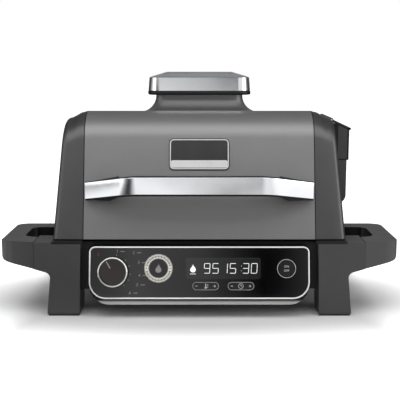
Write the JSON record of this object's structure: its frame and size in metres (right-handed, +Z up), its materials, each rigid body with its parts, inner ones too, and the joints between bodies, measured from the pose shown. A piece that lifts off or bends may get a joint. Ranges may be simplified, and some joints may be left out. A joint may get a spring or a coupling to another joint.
{
  "type": "countertop electric grill and smoker",
  "caption": "Countertop electric grill and smoker with a hinged domed lid, capped chimney, side pellet box, slanted control panel and two side carrying handles.",
  "frame": {"origin": "on the floor, under the middle of the object's bounding box", "axes": "+X to the right, +Y to the back, +Z up; the control panel faces -Y"},
  "size_m": [0.604, 0.4773, 0.361],
  "materials": {
    "tub_plastic": "dark grey moulded plastic, fine texture",
    "black_plastic": "black moulded plastic",
    "enamel": "dark non-stick coating",
    "cast_plate": "coated cast plate",
    "element_steel": "heat-darkened steel tube",
    "terminal_ceramic": "white ceramic",
    "leg_plastic": "dark grey moulded plastic",
    "handle_plastic": "dark grey moulded plastic",
    "foot_rubber": "black rubber",
    "housing_plastic": "warm grey moulded plastic",
    "bezel_steel": "satin steel trim",
    "fascia_gloss": "glossy black fascia",
    "display_glass": "dark display window",
    "board_green": "green circuit board",
    "encoder_metal": "zinc-plated encoder",
    "trim_cream": "cream printed ring",
    "seal_rubber": "black silicone",
    "hinge_steel": "black painted steel",
    "pin_steel": "bright steel",
    "rail_steel": "zinc-plated steel",
    "tray_steel": "dark coated sheet",
    "knob_chrome": "chromed ring",
    "knob_black": "brown-black satin face",
    "key_black": "black key",
    "lid_paint": "mid-grey satin metallic paint",
    "end_paint": "dark grey satin paint",
    "liner_steel": "aluminised steel liner",
    "cap_steel": "brushed steel",
    "strip_steel": "brushed steel",
    "badge_metal": "blank metal badge",
    "motor_metal": "cast motor housing",
    "guard_steel": "pressed steel guard",
    "fan_aluminium": "pressed aluminium",
    "box_paint": "dark grey painted steel",
    "cup_steel": "heat-stained steel cup",
    "igniter_ceramic": "ceramic igniter rod"
  },
  "bodies": {
    "base": {"base_shell": "tub_plastic", "rim_frame": "black_plastic", "bottom_cover": "tub_plastic", "cooking_pot": "enamel", "grill_grate": "cast_plate", "heating_element": "element_steel", "element_terminal": "terminal_ceramic", "front_leg_left": "leg_plastic", "front_leg_right": "leg_plastic", "rear_leg_left": "leg_plastic", "rear_leg_right": "leg_plastic", "side_handle_left": "handle_plastic", "side_handle_right": "handle_plastic", "rubber_feet": "foot_rubber", "control_housing": "housing_plastic", "panel_bezel": "bezel_steel", "panel_fascia": "fascia_gloss", "display_lens": "display_glass", "control_board": "board_green", "knob_encoder": "encoder_metal", "flavour_trim_ring": "trim_cream", "button_domes": "seal_rubber", "hinge_brackets": "hinge_steel", "hinge_pins": "pin_steel", "power_inlet": "black_plastic", "tray_rails": "rail_steel", "lid_pads": "pin_steel", "cover_screws": "pin_steel"},
    "tray": {"grease_tray": "tray_steel"},
    "knob": {"knob_ring": "knob_chrome", "knob_core": "knob_black"},
    "flavour_key": {"flavour_button": "key_black"},
    "start_key": {"start_button": "key_black"},
    "temp_key": {"temp_rocker": "key_black"},
    "time_key": {"time_rocker": "key_black"},
    "lid": {"lid_shell": "lid_paint", "lid_end_left": "end_paint", "lid_end_right": "end_paint", "lid_liner": "liner_steel", "lid_seal": "seal_rubber", "chimney_neck": "lid_paint", "chimney_gasket": "seal_rubber", "chimney_cap": "cap_steel", "lid_handle_strip": "strip_steel", "lid_handle_grip": "black_plastic", "blank_badge": "badge_metal", "lid_hinge_leaves": "hinge_steel", "fan_motor": "motor_metal", "fan_guard": "guard_steel", "pellet_box": "box_paint", "pellet_cup": "cup_steel", "pellet_igniter": "igniter_ceramic", "temperature_probe": "pin_steel", "flap_hinge_pin": "pin_steel"},
    "fan": {"fan_impeller": "fan_aluminium", "motor_shaft": "pin_steel"},
    "flap": {"pellet_flap": "box_paint"}
  },
  "joints": [
    {"name": "lid_hinge", "type": "hinge", "parent": "base", "child": "lid", "pos_m": [0, 0.208, 0.122], "axis": [-1, 0, 0], "range_deg": [0, 80]},
    {"name": "fan_spin", "type": "hinge", "parent": "lid", "child": "fan", "pos_m": [0, 0, 0.28], "axis": [0, 0, 1], "continuous": true},
    {"name": "flap_hinge", "type": "hinge", "parent": "lid", "child": "flap", "pos_m": [0.222, 0.04, 0.282], "axis": [0, -1, 0], "range_deg": [0, 100]},
    {"name": "tray_slide", "type": "slide", "parent": "base", "child": "tray", "axis": [0, 1, 0], "range_m": [0, 0.15]},
    {"name": "knob_turn", "type": "hinge", "parent": "base", "child": "knob", "pos_m": [-0.1278, -0.22328, 0.06998], "axis": [0, -0.9759, 0.2181], "range_deg": [-150, 150]},
    {"name": "flavour_push", "type": "slide", "parent": "base", "child": "flavour_key", "axis": [0, 0.9759, -0.2181], "range_m": [0, 0.001], "stiffness_N_per_m": 800},
    {"name": "start_push", "type": "slide", "parent": "base", "child": "start_key", "axis": [0, 0.9759, -0.2181], "range_m": [0, 0.001], "stiffness_N_per_m": 800},
    {"name": "temp_rock", "type": "hinge", "parent": "base", "child": "temp_key", "pos_m": [0.00938, -0.22487, 0.04912], "axis": [0, 0.2181, 0.9759], "range_deg": [-2, 2], "stiffness_Nm_per_rad": 0.6},
    {"name": "time_rock", "type": "hinge", "parent": "base", "child": "time_key", "pos_m": [0.06168, -0.22487, 0.04912], "axis": [0, 0.2181, 0.9759], "range_deg": [-2, 2], "stiffness_Nm_per_rad": 0.6}
  ]
}
